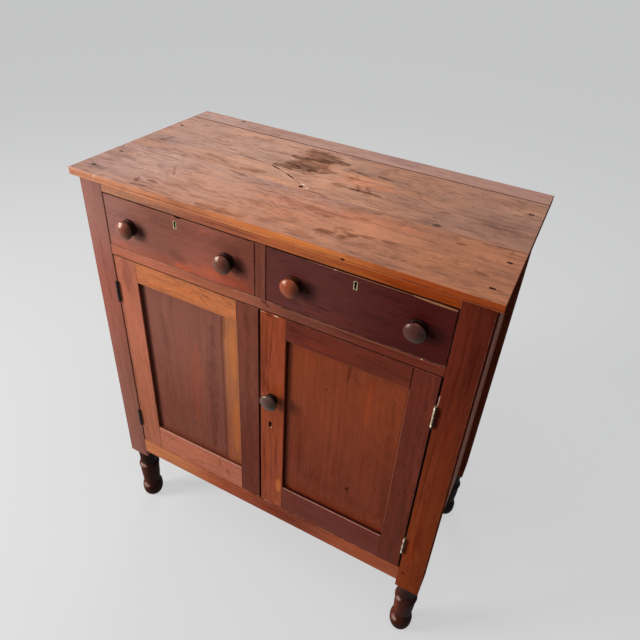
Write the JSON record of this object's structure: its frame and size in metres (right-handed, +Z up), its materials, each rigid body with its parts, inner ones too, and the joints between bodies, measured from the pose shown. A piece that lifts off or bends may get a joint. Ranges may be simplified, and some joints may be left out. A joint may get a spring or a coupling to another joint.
{
  "type": "jelly cupboard",
  "caption": "Free-standing country cupboard on turned feet: drawers side by side over a pair of frame-and-panel doors, flush in a case of corner posts under an overhanging plank top",
  "frame": {"origin": "On the floor, under the centre of the cupboard's outline", "axes": "+Z up, the doors and drawers face -Y, +X is to the right of someone facing the doors"},
  "size_m": [1.046, 0.549, 1.2543],
  "materials": {
    "top_wood": "worn clear finish, warm brown with grey streaks",
    "left_post_wood": "worn varnish, pinkish brown",
    "right_post_wood": "worn varnish, red-brown",
    "rail_wood": "worn varnish, orange-brown",
    "side_wood": "old varnish, dark brown",
    "back_wood": "bare, aged",
    "inside_wood": "bare, aged",
    "left_drawer_wood": "varnish, red-brown",
    "right_drawer_wood": "varnish, dark maroon",
    "drawer_box_wood": "bare, aged",
    "left_door_wood": "worn varnish, orange-brown",
    "left_panel_wood": "varnish, mauve-brown",
    "right_door_wood": "varnish, dark red-brown",
    "right_panel_wood": "varnish, orange-brown",
    "knob_wood": "glossy varnish",
    "door_knob_wood": "glossy dark varnish",
    "iron": "dark, worn",
    "brass": "dull, aged",
    "bolt_steel": "dull"
  },
  "bodies": {
    "case": {"top_front_board": "top_wood", "top_middle_board": "top_wood", "top_back_strip": "top_wood", "front_left_post": "left_post_wood", "front_right_post": "right_post_wood", "back_left_post": "left_post_wood", "back_right_post": "right_post_wood", "top_rail": "rail_wood", "middle_rail": "rail_wood", "bottom_rail": "rail_wood", "drawer_divider": "rail_wood", "left_side_board": "side_wood", "right_side_board": "side_wood", "lower_back_board": "back_wood", "middle_back_board": "back_wood", "upper_back_board": "back_wood", "floor_board": "inside_wood", "shelf": "inside_wood", "left_runner": "inside_wood", "center_runner": "inside_wood", "right_runner": "inside_wood", "door_stop": "inside_wood", "left_upper_hinge_post_leaf": "iron", "left_lower_hinge_post_leaf": "iron", "right_upper_hinge_post_leaf": "brass", "right_lower_hinge_post_leaf": "brass"},
    "left_drawer": {"left_drawer_front": "left_drawer_wood", "left_drawer_left_side": "drawer_box_wood", "left_drawer_right_side": "drawer_box_wood", "left_drawer_back": "drawer_box_wood", "left_drawer_bottom": "drawer_box_wood", "left_drawer_left_knob": "knob_wood", "left_drawer_right_knob": "knob_wood", "left_drawer_lock": "brass"},
    "right_drawer": {"right_drawer_front": "right_drawer_wood", "right_drawer_left_side": "drawer_box_wood", "right_drawer_right_side": "drawer_box_wood", "right_drawer_back": "drawer_box_wood", "right_drawer_bottom": "drawer_box_wood", "right_drawer_left_knob": "knob_wood", "right_drawer_right_knob": "knob_wood", "right_drawer_lock": "brass"},
    "left_door": {"left_door_hinge_stile": "left_door_wood", "left_door_meeting_stile": "left_door_wood", "left_door_top_rail": "left_door_wood", "left_door_bottom_rail": "left_door_wood", "left_door_panel": "left_panel_wood", "left_upper_hinge_door_leaf": "iron", "left_lower_hinge_door_leaf": "iron"},
    "left_door_turn_button": {"left_door_button": "inside_wood"},
    "right_door": {"right_door_hinge_stile": "right_door_wood", "right_door_meeting_stile": "right_door_wood", "right_door_top_rail": "right_door_wood", "right_door_bottom_rail": "right_door_wood", "right_door_panel": "right_panel_wood", "right_upper_hinge_door_leaf": "brass", "right_lower_hinge_door_leaf": "brass", "door_knob": "door_knob_wood", "door_lock": "iron"},
    "lock_bolt": {"door_lock_bolt": "bolt_steel"}
  },
  "joints": [
    {"name": "left_drawer_slide", "type": "slide", "parent": "case", "child": "left_drawer", "axis": [0, -1, 0], "range_m": [0, 0.33]},
    {"name": "right_drawer_slide", "type": "slide", "parent": "case", "child": "right_drawer", "axis": [0, -1, 0], "range_m": [0, 0.33]},
    {"name": "left_door_hinge", "type": "hinge", "parent": "case", "child": "left_door", "pos_m": [-0.4415, -0.2474, 0.6785], "axis": [0, 0, -1], "range_deg": [0, 165]},
    {"name": "right_door_hinge", "type": "hinge", "parent": "case", "child": "right_door", "pos_m": [0.4415, -0.2474, 0.6785], "axis": [0, 0, 1], "range_deg": [0, 165]},
    {"name": "left_door_button_turn", "type": "hinge", "parent": "left_door", "child": "left_door_turn_button", "pos_m": [-0.0335, -0.2144, 0.35], "axis": [0, 1, 0], "range_deg": [0, 90]},
    {"name": "door_lock_slide", "type": "slide", "parent": "right_door", "child": "lock_bolt", "axis": [-1, 0, 0], "range_m": [0, 0.014]}
  ]
}
